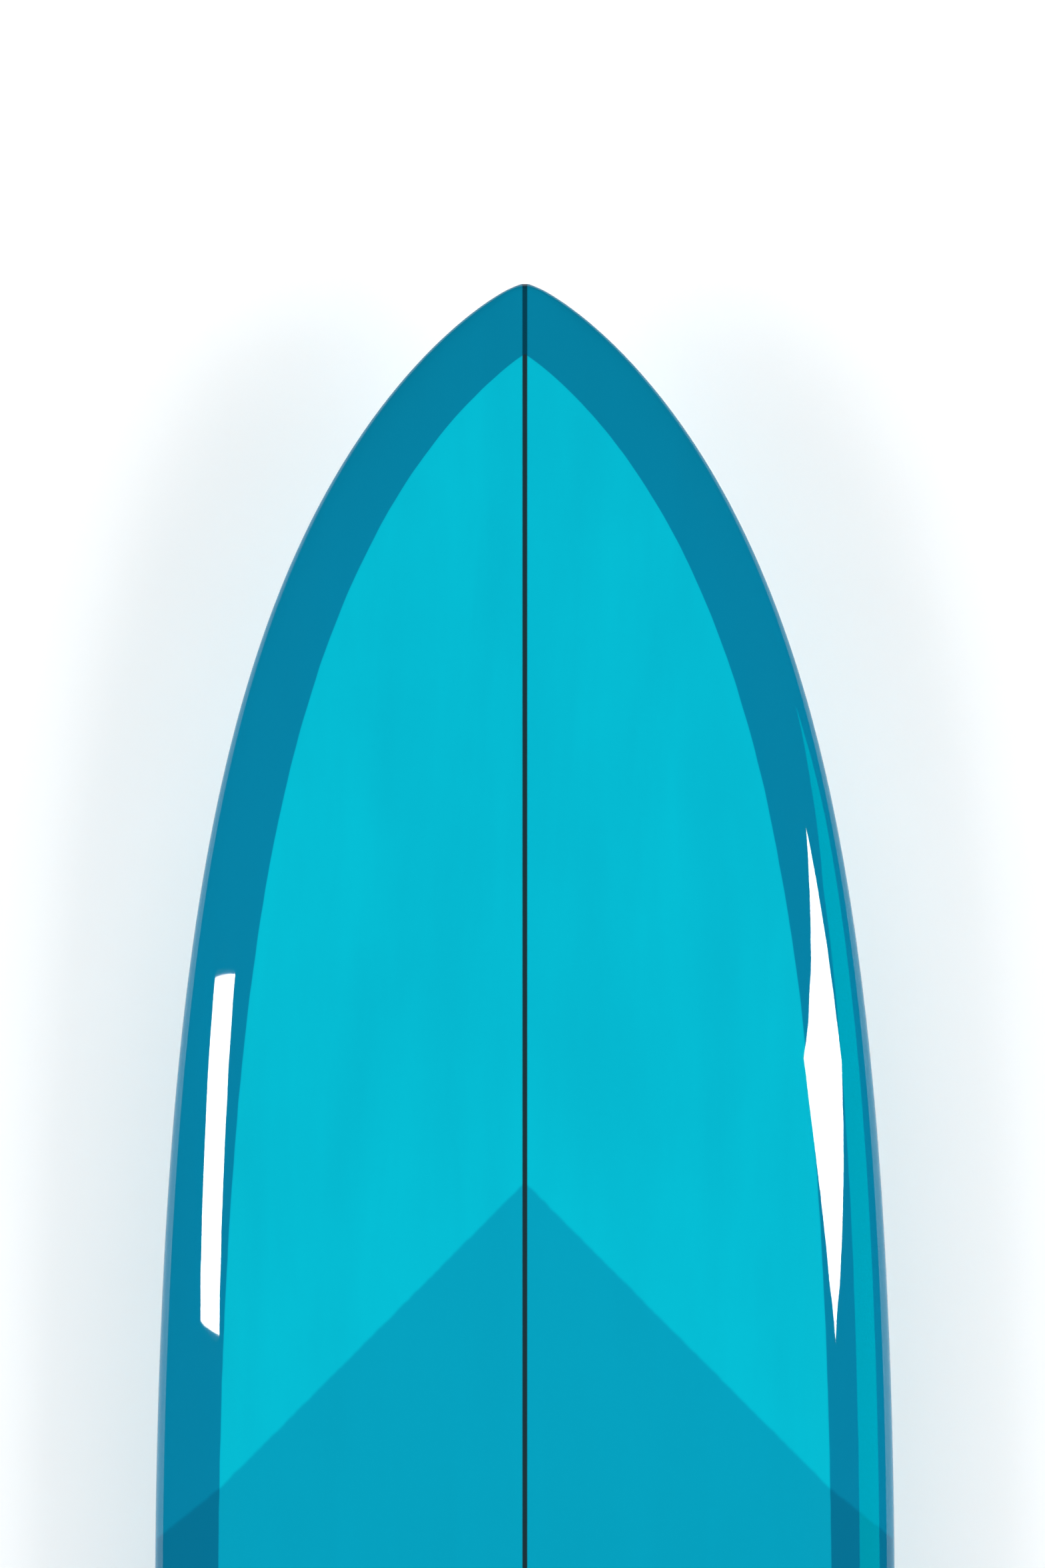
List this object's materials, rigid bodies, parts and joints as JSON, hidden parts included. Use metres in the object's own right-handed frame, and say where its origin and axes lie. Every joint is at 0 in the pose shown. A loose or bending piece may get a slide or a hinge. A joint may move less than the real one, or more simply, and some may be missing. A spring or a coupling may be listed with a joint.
{
  "type": "stand up paddleboard",
  "caption": "Long glassed foam board with a pointed nose, squash tail, dark stringer, deck lap, carry handle, vent, leash plug and removable fins.",
  "frame": {"origin": "middle of the small flat on the bottom, halfway along the board", "axes": "+Y towards the nose, +Z out of the deck, +X to the right rail seen from above with the nose ahead"},
  "size_m": [0.762, 2.8944, 0.3355],
  "materials": {
    "deck_resin": "translucent cyan tinted resin over glass cloth, polished",
    "lap_resin": "darker teal tinted resin over glass cloth, polished",
    "patch_cloth": "second layer of tinted glass cloth",
    "foam": "white expanded polystyrene foam",
    "dense_foam": "dense moulded foam insert",
    "stringer_wood": "dark stained wood with a black glue line",
    "black_plastic": "moulded black plastic",
    "grip_rubber": "soft black rubber tube",
    "seal_rubber": "black seal rubber",
    "membrane": "white porous film",
    "stainless": "turned stainless steel",
    "brass": "machined brass",
    "fin_glass": "glass and resin laminate, dark tint"
  },
  "bodies": {
    "board": {"deck_laminate": "deck_resin", "rail_lap": "lap_resin", "bottom_laminate": "lap_resin", "deck_patch": "patch_cloth", "fin_patch": "patch_cloth", "foam_front_left": "foam", "foam_front_right": "foam", "foam_mid_left": "foam", "foam_mid_right": "foam", "foam_rear_left": "foam", "foam_rear_right": "foam", "foam_tail_left": "foam", "foam_tail_right": "foam", "handle_block": "dense_foam", "fin_block": "dense_foam", "tail_block": "dense_foam", "stringer_front": "stringer_wood", "stringer_rear": "stringer_wood", "handle_cup": "black_plastic", "grip_bar": "stainless", "grip_sleeve": "grip_rubber", "vent_insert": "black_plastic", "vent_membrane": "membrane", "leash_cup": "black_plastic", "leash_bar": "stainless", "fin_box": "black_plastic", "side_box_left": "black_plastic", "side_box_right": "black_plastic", "side_fin_left": "fin_glass", "side_fin_right": "fin_glass"},
    "center_fin": {"center_fin": "fin_glass", "fin_pin": "brass", "fin_plate": "brass"},
    "fin_screw": {"fin_screw": "stainless"},
    "vent_ring": {"vent_ring": "seal_rubber"},
    "vent_plug": {"vent_plug": "black_plastic"},
    "side_screw_left": {"side_screw_left": "stainless"},
    "side_screw_right": {"side_screw_right": "stainless"}
  },
  "joints": [
    {"name": "center_fin_slide", "type": "slide", "parent": "board", "child": "center_fin", "axis": [0, 0.9971, -0.0759], "range_m": [-0.022, 0.022]},
    {"name": "fin_screw_turn", "type": "hinge", "parent": "center_fin", "child": "fin_screw", "pos_m": [0, -1.03926, 0.02586], "axis": [0, 0.0759, 0.9971], "continuous": true},
    {"name": "vent_ring_lift", "type": "slide", "parent": "board", "child": "vent_ring", "axis": [0, 0, 1], "range_m": [0, 0.012]},
    {"name": "vent_plug_turn", "type": "hinge", "parent": "vent_ring", "child": "vent_plug", "pos_m": [0.045, -0.19, 0.10723], "axis": [0, 0, 1], "range_deg": [0, 1440]},
    {"name": "side_screw_left_turn", "type": "hinge", "parent": "board", "child": "side_screw_left", "pos_m": [-0.19258, -1.04713, 0.03175], "axis": [0, 0.0725, 0.9974], "continuous": true},
    {"name": "side_screw_right_turn", "type": "hinge", "parent": "board", "child": "side_screw_right", "pos_m": [0.19258, -1.04713, 0.03175], "axis": [0, 0.0725, 0.9974], "continuous": true}
  ],
  "couplings": [
    {"joint": "vent_plug_turn", "follows": "vent_ring_lift", "rad_per_m": 2094.4}
  ]
}
